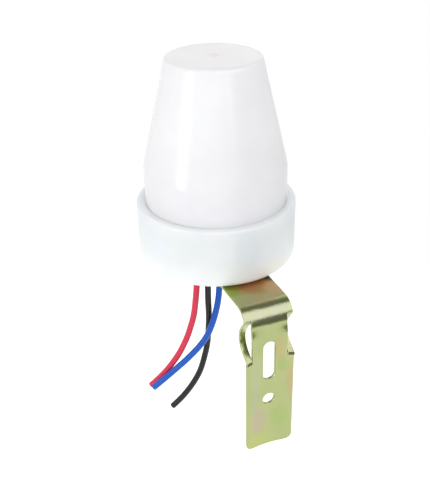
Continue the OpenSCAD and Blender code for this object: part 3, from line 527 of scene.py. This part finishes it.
def leadFrames(line):
    # Directions along the line, and two square to it taken from one fixed direction so that they never turn
    d = np.gradient(line, axis=0)
    d /= np.linalg.norm(d, axis=1, keepdims=True)
    side = np.cross(d, [0.0, 1.0, 0.0])
    side /= np.linalg.norm(side, axis=1, keepdims=True)
    return d, side, np.cross(d, side)


def leadTube(name, line, radius, around, seat=None):
    # Insulation: the section runs along the line, its cut edge is broken, and seat leaves a hollow for the core
    d, side, other = leadFrames(line)
    edge = 0.12
    beyond = [0, edge, edge, -0.5] if seat else [0, edge]
    ends = np.array([line[-1] + d[-1] * k for k in beyond])
    centres = np.vstack([line[:1], line, ends])
    radii = [radius * 0.8] + [radius] * (len(line) + 1) + [radius - edge] + ([seat, seat] if seat else [])
    sides = np.vstack([side[:1], side, np.tile(side[-1], (len(beyond), 1))])
    others = np.vstack([other[:1], other, np.tile(other[-1], (len(beyond), 1))])
    rings = roundRings(centres + bodyOrigin / mm, sides, others, radii, around)
    piece = ringSolid(name, rings, 50)
    addAlongMap(piece, len(centres), around)
    return piece


def addAlongMap(piece, rings, around):
    # UV map "along": u once round the wire, v from 0 to 1 along it
    mesh = piece.data
    index = np.empty(len(mesh.loops), dtype=np.int32)
    mesh.loops.foreach_get("vertex_index", index)
    index = np.minimum(index, rings * around - 1)
    uv = np.stack([(index % around) / around, (index // around) / rings], axis=1)
    layer = mesh.uv_layers.new(name="along")
    layer.data.foreach_set("uv", uv.astype(np.float32).ravel())


for leadName, route in leadRoutes.items():
    line = splineLine(route, leadSettings["perSpan"])
    split = leadSettings["exitPoint"] * leadSettings["perSpan"]
    free, inner = line[split:], line[:split + 1]
    radius = leadSettings["diameter"] / 2
    coreRadius = leadSettings["coreDiameter"] / 2
    shade = wirePlastic(leadName, leadLook[leadName])
    outside = leadTube(leadName + "_free", free, radius, leadSettings["around"], coreRadius)
    inside = leadTube(leadName + "_inside", inner, radius, leadSettings["around"])
    for piece in (outside, inside):
        giveMaterial(piece, shade)
        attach(piece, "root")
        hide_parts(leadName)


# Copper strands in the cut ends: six round one, a little below the cut

def copperCore(name, line, radius, strands, around=12):
    # Each strand is a short round bar with a broken end, laid in a ring round the middle one
    d, side, other = (v[-1] for v in leadFrames(line))
    strand = radius / 3
    a = 2 * np.pi * np.arange(strands - 1) / (strands - 1)
    middles = np.vstack([[0, 0], np.stack([np.cos(a), np.sin(a)], axis=1) * 2 * strand])
    depths = np.array([-1.2, -0.35, -0.28, -0.25])
    radii = np.array([1.0, 1.0, 0.75, 0.3]) * strand
    one = np.ones((len(depths), 1))
    points, quads, fans = [], [], []
    for k, (x, y) in enumerate(middles):
        centres = line[-1] + x * side + y * other + depths[:, None] * d + bodyOrigin / mm
        made = ringArrays(roundRings(centres, one * side, one * other, radii, around))
        base = k * len(made[0])
        points.append(made[0])
        quads.append(made[1] + base)
        fans.append(made[2] + base)
    return joinFaces(name, np.concatenate(points) * mm, np.concatenate(quads), np.concatenate(fans), 40)


copper = smallMaterial("copperStrandDrawn", "#C98A5E", "#B4744A", 0.2, 1.0, 0.3)
for leadName, route in leadRoutes.items():
    line = splineLine(route, leadSettings["perSpan"])
    core = copperCore(leadName + "_core", line, leadSettings["coreDiameter"] / 2 - 0.04, leadSettings["strands"])
    giveMaterial(core, copper)
    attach(core, "root")
print("leads made")


# Cup and cap: turned profiles, in millimetres from the axis and the cup's underside

cupSettings = {"wall": 3.49, "floor": 2.5, "foot": 2.1, "rim": 1.2, "height": (cupRimZ - cupFloorZ) / mm,
               "snapHeight": 19.2, "snapGroove": 0.6, "snapWidth": 1.9, "leadHole": 3.2, "leadPitch": 4.8,
               "leadBack": 12.5, "screwHole": 4.3, "bossDiameter": 13.0, "bossHeight": 1.5,
               "ribCount": 6, "ribWidth": 1.6, "ribInner": 26.45, "ribTop": 14.2, "postHeight": 9.5,
               "postDiameter": 6.0, "postHole": 2.8, "postHoleStart": 4.6,
               "postPlaces": [(0.0, 19.99), (-14.11, -14.11), (14.11, -14.11)]}


def makeCup(s):
    r, b, h = cupRadius / mm, cupRadius / mm - s["wall"], s["height"]
    w, g, z = s["snapWidth"] / 2, s["snapGroove"], s["snapHeight"]
    corners = [(0, 0), (r, 0), (r, h), (b, h), (b, z + w), (b + g, z + w - g), (b + g, z - w + g), (b, z - w),
               (b, s["floor"]), (s["bossDiameter"] / 2, s["floor"]),
               (s["bossDiameter"] / 2, s["floor"] + s["bossHeight"]), (0, s["floor"] + s["bossHeight"])]
    radii = [0, s["foot"], s["rim"], 0.02, 0.1, 0.1, 0.1, 0.1, 0.6, 0.2, 0.2, 0]
    return turned("cupShell", spacedLine(roundedLine(corners, radii, 8), 2.5))


def makeRib(s, angle):
    # A bar whose section is a rectangle of (outward, sideways) corners turned by the angle
    outer, half = cupRadius / mm - s["wall"] + 1.0, s["ribWidth"] / 2
    corners = np.array([(s["ribInner"], -half), (outer, -half), (outer, half), (s["ribInner"], half)])
    out = np.array([math.cos(angle), math.sin(angle), 0.0])
    side = np.array([-math.sin(angle), math.cos(angle), 0.0])
    ring = corners[:, :1] * out + corners[:, 1:] * side + bodyOrigin / mm
    rings = np.stack([ring + [0, 0, s["floor"] - 0.75], ring + [0, 0, s["ribTop"]]])
    return ringSolid("rib", rings)


def makePost(s, place):
    # A round post with a blind screw hole: up its outside, over the rim and down into the hole
    r, hole, top = s["postDiameter"] / 2, s["postHole"] / 2, s["floor"] + s["postHeight"]
    heights = np.array([s["floor"] / 2, top - 0.2, top, top, s["postHoleStart"]])
    centres = np.stack([np.full(5, place[0]), np.full(5, place[1]), heights], axis=1) + bodyOrigin / mm
    one = np.ones((5, 1))
    return ringSolid("post", roundRings(centres, one * [1.0, 0, 0], one * [0, 1.0, 0], [r, r, r - 0.2, hole, hole], 48))


def drillCutter(x, y, diameter, z0, z1, flare=0.25):
    # Round cutter whose lower end widens, so that the hole's lower edge is broken
    r = diameter / 2
    depths = np.array([z0 - 1.0, z0 - 0.001, z0 + flare, z1])
    centres = np.stack([np.full(4, x), np.full(4, y), depths], axis=1) + bodyOrigin / mm
    one = np.ones((4, 1))
    radii = [r + flare, r + flare, r, r]
    return ringSolid("cutter", roundRings(centres, one * [1.0, 0, 0], one * [0, 1.0, 0], radii, 40))


cupPiece = makeCup(cupSettings)
for k in range(cupSettings["ribCount"]):
    cut(cupPiece, makeRib(cupSettings, 2 * math.pi * (k + 0.5) / cupSettings["ribCount"]), "UNION")
for place in cupSettings["postPlaces"]:
    cut(cupPiece, makePost(cupSettings, place), "UNION")
for k in (-1, 0, 1):
    cut(cupPiece, drillCutter(k * cupSettings["leadPitch"], cupSettings["leadBack"], cupSettings["leadHole"], 0, 6))
cut(cupPiece, drillCutter(0, 0, cupSettings["screwHole"], 0, 6))
resharpen(cupPiece, 35)
giveMaterial(cupPiece, cupPlastic(cupLook, cupPatches))
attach(cupPiece, "root")
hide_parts("base_cup")

capSettings = {"wall": 1.6, "radius": 28.5, "skirtZ": 14.2, "kneeZ": 38.7, "topZ": (capBox[1][2] - cupFloorZ) / mm,
               "topRadius": 18.4, "shoulder": 2.2, "knee": 12.0, "snapZ": 19.2, "snap": 0.45, "snapWidth": 1.6,
               "dimpleRadius": 2.3, "dimpleDepth": 0.18}


def makeCap(s):
    r, z, w, n = s["radius"], s["snapZ"], s["snapWidth"] / 2, s["snap"]
    slope = math.atan((r - s["topRadius"]) / (s["topZ"] - s["kneeZ"]))
    t, h = s["topRadius"] + s["wall"] * math.tan(slope) - s["wall"] / math.cos(slope), s["topZ"] - s["wall"]
    kneeIn = s["kneeZ"] - s["wall"] * math.tan(slope / 2)
    inner = r - s["wall"]
    # From the middle of the ceiling out and down the inside, round the skirt, and up the outside
    corners = [(0, h), (t, h), (inner, kneeIn), (inner, s["skirtZ"]), (r, s["skirtZ"]), (r, z - w),
               (r + n, z - w + n), (r + n, z + w - n), (r, z + w), (r, s["kneeZ"]), (s["topRadius"], s["topZ"]),
               (s["dimpleRadius"], s["topZ"]), (s["dimpleRadius"] * 0.35, s["topZ"] - s["dimpleDepth"]),
               (0, s["topZ"] - s["dimpleDepth"] * 1.05)]
    radii = [0, 0.6, s["knee"] - s["wall"], 0.3, 0.5, 0.1, 0.15, 0.15, 0.1, s["knee"], s["shoulder"], 1.2, 0.5, 0]
    profile = spacedLine(roundedLine(corners, radii, 8), 2.5)
    return turned("capShell", profile)


capPiece = makeCap(capSettings)
giveMaterial(capPiece, milkyCap(capLook, capPatches))
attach(capPiece, "root")
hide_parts("cap")
print("cup and cap made")


# Bracket: one strip of sheet followed along its fold, with a section that is flat under the cup and
# dished on the leg. Lengths in millimetres; the leg's outer face is y = 0.

bracketSettings = {"sheet": 1.2, "width": 20.0, "bend": 7.5, "reach": axisY / mm, "tail": 6.8, "legDrop": 65.1,
                   "dish": 1.2, "ease": 5.0, "corner": 2.8, "tailCorner": 3.0, "edge": 0.22,
                   "notchTop": 4.0, "notchLow": 22.8, "earWidth": 2.5, "earGap": 0.1, "earCurl": (1.4, -4.6),
                   "earBow": (8.8, -14.9), "earTip": (-1.6, -22.1), "earCurlRadius": 1.2, "earBowRadius": 7.0,
                   "earSlant": 0.9, "earEase": 3.0,
                   "hole": 5.0, "holeDrop": cupFloorZ / mm, "slotWidth": 5.0, "slotLength": 17.6, "slotDrop": 14.8,
                   "screwHole": 4.3}


def makeBracket(s):
    half, t, R = s["width"] / 2, s["sheet"], s["bend"]
    topZ = cupFloorZ / mm
    # Developed length: from the tail over the flat strip, round the bend and down the leg
    flat = s["reach"] + s["tail"] - R
    arc = (R - t / 2) * math.pi / 2
    leg = s["legDrop"] - R
    stops = [0, flat, flat + arc, flat + arc + leg]
    step = 0.5
    notchTopU = flat + (R - t / 2) * math.acos(1 - s["notchTop"] / R)
    notchLowU = flat + arc + s["notchLow"] - R
    base = np.arange(0, stops[-1], step)
    ends = np.concatenate([np.linspace(0, s["tailCorner"], 14), stops[-1] - np.linspace(0, s["corner"], 14)])
    shelf = np.array([notchTopU - 0.15, notchTopU, notchTopU + 0.02, notchLowU - 0.02, notchLowU, notchLowU + 0.15])
    u = np.unique(np.round(np.concatenate([base, ends, shelf, stops]), 4))
    # Half width along the strip: rounded corners at both ends, and the two notches
    tail = np.clip(s["tailCorner"] - u, 0, None)
    foot = np.clip(u - (stops[-1] - s["corner"]), 0, None)
    width = half - (s["tailCorner"] - np.sqrt(np.clip(s["tailCorner"] ** 2 - tail ** 2, 0, None)))
    width -= s["corner"] - np.sqrt(np.clip(s["corner"] ** 2 - foot ** 2, 0, None))
    inNotch = (u >= notchTopU + 0.01) & (u <= notchLowU - 0.01)
    notchHalf = half - s["earWidth"] - s["earGap"]
    width = np.where(inNotch, notchHalf, width)
    # Middle surface and its outward normal
    a = np.clip((u - flat) / (R - t / 2), 0, math.pi / 2)
    rm = R - t / 2
    y = np.where(u < flat, s["reach"] + s["tail"] - u, R - rm * np.sin(a))
    z = np.where(u < flat, -t / 2, -R + rm * np.cos(a))
    z = np.where(u > flat + arc, -R - (u - flat - arc), z)
    normals = np.stack([np.zeros_like(u), -np.sin(a), np.cos(a)], axis=1)
    centres = np.stack([np.zeros_like(u), y, z + topZ], axis=1)
    sides = np.tile([1.0, 0.0, 0.0], (len(u), 1))
    # Section: a rounded bar whose middle line is lifted outward by the dish
    e = np.clip((u - flat - arc) / s["ease"], 0, 1)
    e = e * e * (3 - 2 * e)
    dishR = (half ** 2 + s["dish"] ** 2) / (2 * s["dish"])
    loops = np.stack([roundedSection(w, t / 2, s["edge"], 42) for w in width])
    lift = dishR - np.sqrt(dishR ** 2 - loops[..., 0] ** 2)
    loops[..., 1] += lift * e[:, None]
    return ringSolid("bracketSheet", barRings(centres, normals, sides, loops))


def makeEar(s, side):
    # The ear leaves the bend along its middle line, curls back, bows and comes forward over the leg
    rm = s["bend"] - s["sheet"] / 2
    rootZ = -s["notchTop"] + s["sheet"] / 3
    root = (s["bend"] - math.sqrt(rm ** 2 - (s["bend"] + rootZ) ** 2), rootZ)
    corners = [root, s["earCurl"], s["earBow"], s["earTip"]]
    line = spacedLine(roundedLine(corners, [0, s["earCurlRadius"], s["earBowRadius"], 0], 24), 0.4)
    d = np.gradient(line, axis=0)
    d /= np.linalg.norm(d, axis=1, keepdims=True)
    count = len(line)
    normals = np.stack([np.zeros(count), d[:, 1], -d[:, 0]], axis=1)
    along = np.stack([np.zeros(count), d[:, 0], d[:, 1]], axis=1)
    x = side * (s["width"] / 2 - s["earWidth"] / 2)
    centres = np.stack([np.full(count, x), line[:, 0], line[:, 1] + cupFloorZ / mm], axis=1)
    sides = np.tile([1.0, 0.0, 0.0], (count, 1))
    loops = np.stack([roundedSection(s["earWidth"] / 2, s["sheet"] / 2, s["edge"], 10)] * count)
    rings = barRings(centres, normals, sides, loops)
    # The free end is cut upright and aslant, longer on the outer side: its last stretch is shifted along by
    # slant * (across / width - 1/2) - through * (normal's y / direction's y)
    slant = s["earSlant"] * (side * (rings[..., 0] - x) / s["earWidth"] - 0.5)
    through = ((rings - centres[:, None]) * normals[:, None]).sum(axis=-1)
    upright = -through * normals[-1, 1] / along[-1, 1]
    left = np.linalg.norm(line - line[-1], axis=1)
    share = np.clip(1 - left / s["earEase"], 0, 1)
    rings += along[:, None] * ((slant + upright) * share[:, None])[..., None]
    # One more ring breaks the edge of the cut end, whose faces come last and take the sheared steel
    end = rings[-1].mean(axis=0)
    inner = end + (rings[-1] - end) * [0.9, 0.84, 0.84] + along[-1] * 0.1
    rings = np.concatenate([rings, inner[None]])
    ear = ringSolid("ear", rings)
    slots = np.zeros(len(ear.data.polygons), dtype=np.int32)
    slots[-loops.shape[1]:] = 1
    ear.data.polygons.foreach_set("material_index", slots)
    return ear


def punch(z0, z1, radius, s, flare=0.18):
    # Cutter for a round hole (z0 = z1) or a slot, its outline widened near both faces of the sheet
    a = 2 * np.pi * np.arange(48) / 48
    up = np.where(np.sin(a) >= 0, max(z0, z1), min(z0, z1)) + cupFloorZ / mm
    face = s["sheet"]
    depth = np.array([-3.0, -flare, flare * 0.6, face - flare * 0.6, face + flare, face + 3.0])
    r = radius + np.array([flare, flare, 0.0, 0.0, flare, flare])[:, None]
    rings = np.stack([r * np.cos(a), np.repeat(depth[:, None], 48, axis=1), up + r * np.sin(a)], axis=-1)
    return ringSolid("punch", rings)


bracketPiece = makeBracket(bracketSettings)
for side in (-1, 1):
    cut(bracketPiece, makeEar(bracketSettings, side), "UNION")
b = bracketSettings
cut(bracketPiece, punch(-b["slotDrop"] - b["slotWidth"] / 2, -b["slotDrop"] - b["slotLength"] + b["slotWidth"] / 2,
                        b["slotWidth"] / 2, b))
cut(bracketPiece, punch(-b["holeDrop"], -b["holeDrop"], b["hole"] / 2, b))
cut(bracketPiece, drillCutter(0, 0, b["screwHole"], -b["sheet"], 3))
resharpen(bracketPiece, 30)
giveMaterial(bracketPiece, passivatedSteel(steelLook, steelPatches))
bracketPiece.data.materials.append(smallMaterial("steelSheared", "#6E6848", "#57523A", 0.3, 1.0, 0.45))
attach(bracketPiece, "root")
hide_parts("bracket")
print("bracket made")


# Screw that holds the bracket: round head with a cross recess, and a rolled thread that shows below the nut

screwSettings = {"diameter": 4.0, "length": 14.0, "pitch": 0.7, "depth": 0.36, "plain": 1.2, "headDiameter": 8.0,
                 "headHeight": 2.6, "recess": (4.8, 1.12, 1.43), "samples": 10, "around": 48}


def makeScrew(s):
    # Thread: radius = r - depth * |2 * (z / pitch - angle / full turn, whole turns dropped) - 1|, less at the tip
    r, headR = s["diameter"] / 2, s["headDiameter"] / 2
    seat = cupSettings["floor"] + cupSettings["bossHeight"]
    tip, top, round = seat - s["length"], seat + s["headHeight"], s["recess"][2]
    z = np.arange(tip, seat - s["plain"], s["pitch"] / s["samples"])
    a = 2 * np.pi * np.arange(s["around"]) / s["around"]
    turns = z[:, None] / s["pitch"] - a / (2 * np.pi)
    radii = r - s["depth"] * np.abs(2 * (turns % 1) - 1)
    radii = np.minimum(radii, r - 2 * s["depth"] + (z[:, None] - tip))
    # Head: from the plain neck out to the seat, up its side and over a rounded edge
    b = np.linspace(0, np.pi / 2, 8)
    headRadii = np.concatenate([[r, r, headR], headR - round + round * np.cos(b), [0.3]])
    headZ = np.concatenate([[seat - s["plain"], seat, seat], top - round + round * np.sin(b), [top]])
    radii = np.concatenate([radii, np.repeat(headRadii[:, None], len(a), axis=1)])
    z = np.concatenate([z, headZ])
    rings = np.stack([radii * np.cos(a), radii * np.sin(a), np.repeat(z[:, None], len(a), axis=1)], axis=-1)
    screw = ringSolid("bracketScrew", rings + bodyOrigin / mm, 50)
    long, wide, deep = s["recess"]
    for x, y in ((long / 2, wide / 2), (wide / 2, long / 2)):
        ring = np.array([(-x, -y, 0), (x, -y, 0), (x, y, 0), (-x, y, 0)]) + bodyOrigin / mm
        cut(screw, ringSolid("recess", np.stack([ring + [0, 0, top - deep], ring + [0, 0, top + 1.0]])))
    resharpen(screw, 50)
    return screw


screwPiece = makeScrew(screwSettings)
giveMaterial(screwPiece, smallMaterial("zincPlatedSteelRolled", "#C9CCD0", "#B5B9BE", 0.6, 1.0, 0.3))
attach(screwPiece, "root")
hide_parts("bracket_screw")
print("screw made")


# Materials of the nodes that stay as they are

for nodeName, (name, main, second, grain, metallic, roughness) in smallLooks.items():
    giveMaterial(bpy.data.objects[nodeName], smallMaterial(name, main, second, grain, metallic, roughness))
print("small materials given")


# Studio: a round pale sheet below the part in a dim room, an overhead light that fills the upper sky,
# a tall strip on the left and a weak box in front on the right

studio = {"floorDrop": 25.0, "floorRadius": 265.0, "paper": "#EDEDEC", "glow": 0.38, "cameraGlow": 0.2,
          "room": 0.72, "bright": 0.84, "brightFrom": (-0.9, -0.3, 0.1),
          "flags": [((0.38, -0.92, -0.05), 0.86, 0.95, 0.78), ((0.38, 0.03, 0.92), 0.91, 0.98, 0.75),
                    ((0.95, 0.15, -0.1), 0.55, 0.92, 0.17)],
          "overhead": {"azimuth": -72.0, "elevation": 39.5, "distance": 600.0, "size": (0.9, 0.6), "level": 0.95},
          "back": {"azimuth": 60.0, "elevation": 32.0, "distance": 700.0, "size": (0.6, 0.45), "level": 0.3},
          "strip": {"azimuth": -166.0, "elevation": 7.0, "distance": 620.0, "size": (0.16, 0.44), "level": 3.4},
          "box": {"azimuth": -82.0, "elevation": 9.5, "distance": 760.0, "size": (0.13, 0.1), "level": 2.6}}


def seenDirectly(material, path, first):
    # 1 for rays that show the background: the first kind, those off gloss and those through clear pieces
    glossy = node(material, "ShaderNodeMath", {"operation": "ADD", "use_clamp": True},
                  i0=(path, "Is Glossy Ray"), i1=(path, "Is Transmission Ray"))
    every = node(material, "ShaderNodeMath", {"operation": "ADD", "use_clamp": True},
                 i0=(path, first), i1=(glossy, "Value"))
    return every, "Value"


def makeFloor(s):
    # A thin disc, lit a little from within; camera rays see it brighter, so that only a faint shadow is left.
    # Seen from below it is clear, so that the part's underside can be looked at
    low = cadBox[0][2] / mm - s["floorDrop"]
    radii = np.array([0.02, 0.3, 0.6, 1.0, 1.0, 0.02]) * s["floorRadius"]
    heights = low - np.array([0, 0, 0, 0, 0.5, 0.5])
    centres = np.stack([np.zeros(6), np.zeros(6), heights], axis=1)
    one = np.ones((6, 1))
    floor = ringSolid("paperSheet", roundRings(centres, one * [1.0, 0, 0], one * [0, 1.0, 0], radii, 96))
    m = newMaterial("paperSheetMatte")
    tone = noiseAt(m, 3.0, 1.0)
    colour = ramp(m, tone, "Fac", [(0.0, "#E9E9E8"), (1.0, s["paper"])])
    diffuse = node(m, "ShaderNodeBsdfDiffuse", Color=(colour, "Color"))
    path = node(m, "ShaderNodeLightPath")
    lift = node(m, "ShaderNodeMath", {"operation": "MULTIPLY_ADD", 1: s["cameraGlow"], 2: s["glow"]},
                i0=seenDirectly(m, path, "Is Camera Ray"))
    glow = node(m, "ShaderNodeEmission", {"Color": (1, 1, 1, 1)}, Strength=(lift, "Value"))
    both = node(m, "ShaderNodeAddShader", i0=(diffuse, 0), i1=(glow, 0))
    facing = node(m, "ShaderNodeNewGeometry")
    parts = node(m, "ShaderNodeSeparateXYZ", Vector=(facing, "True Normal"))
    above = node(m, "ShaderNodeMath", {"operation": "GREATER_THAN", 1: -0.5}, i0=(parts, "Z"))
    clear = node(m, "ShaderNodeBsdfTransparent")
    seen = node(m, "ShaderNodeMixShader", i0=(above, "Value"), i1=(clear, 0), i2=(both, 0))
    giveMaterial(floor, finishShader(m, seen))


def softBox(name, s, target):
    # Rectangular lamp facing the target from an azimuth, an elevation and a distance.
    # Power = level * pi * area gives it that level in a reflection
    a, e = math.radians(s["azimuth"]), math.radians(s["elevation"])
    back = np.array([math.cos(a) * math.cos(e), math.sin(a) * math.cos(e), math.sin(e)])
    right = np.cross([0, 0, 1.0], back)
    right /= np.linalg.norm(right)
    data = bpy.data.lights.new(name, "AREA")
    data.shape = "RECTANGLE"
    data.size, data.size_y = s["size"]
    data.energy = s["level"] * math.pi * s["size"][0] * s["size"][1]
    lamp = bpy.data.objects.new(name, data)
    turn = np.eye(4)
    turn[:3, 0], turn[:3, 1], turn[:3, 2] = right, np.cross(back, right), back
    turn[:3, 3] = np.array(target) + back * s["distance"] * mm
    lamp.matrix_world = Matrix(turn.tolist())
    lamp.visible_camera = False
    bpy.context.collection.objects.link(lamp)


def makeSky(s):
    # The room's light: level = room + (bright - room) * smoothstep(direction . bright side), times
    # 1 - depth * smoothstep(direction . flag) for each dark flag. Camera rays see white
    world = bpy.data.worlds.new("dimRoom")
    bpy.context.scene.world = world
    world.use_nodes = True
    world.node_tree.nodes.clear()
    side = np.array(s["brightFrom"]) / np.linalg.norm(s["brightFrom"])
    place = node(world, "ShaderNodeTexCoord")
    dot = node(world, "ShaderNodeVectorMath", {"operation": "DOT_PRODUCT", 1: side.tolist()}, i0=(place, "Generated"))
    level = node(world, "ShaderNodeMapRange", {"interpolation_type": "SMOOTHSTEP", "From Min": -0.3, "From Max": 1.0,
                                               "To Min": s["room"], "To Max": s["bright"]}, Value=(dot, "Value"))
    path = node(world, "ShaderNodeLightPath")
    last = (node(world, "ShaderNodeMix", {"data_type": "FLOAT", 3: 1.0}, i0=seenDirectly(world, path, "Is Camera Ray"),
                 i2=(level, "Result")), 0)
    for direction, outer, inner, depth in s["flags"]:
        flag = (np.array(direction) / np.linalg.norm(direction)).tolist()
        toward = node(world, "ShaderNodeVectorMath", {"operation": "DOT_PRODUCT", 1: flag}, i0=(place, "Generated"))
        kept = node(world, "ShaderNodeMapRange", {"interpolation_type": "SMOOTHSTEP", "From Min": outer, "From Max": inner,
                                                  "To Min": 1.0, "To Max": 1.0 - depth}, Value=(toward, "Value"))
        last = (node(world, "ShaderNodeMath", {"operation": "MULTIPLY"}, i0=last, i1=(kept, "Result")), "Value")
    seen = node(world, "ShaderNodeMix", {"data_type": "FLOAT", 3: 1.0}, i0=(path, "Is Camera Ray"), i2=last)
    sky = node(world, "ShaderNodeBackground", {"Color": (1, 1, 1, 1)}, Strength=(seen, 0))
    out = node(world, "ShaderNodeOutputWorld")
    world.node_tree.links.new(sky.outputs[0], out.inputs["Surface"])


makeFloor(studio)
makeSky(studio)
middle = (axisX, axisY, cupFloorZ + 40 * mm)
for lampName in ("overhead", "back", "strip", "box"):
    softBox(lampName, studio[lampName], middle)
print("studio made")

view = bpy.context.scene.view_settings
view.view_transform = "Standard"
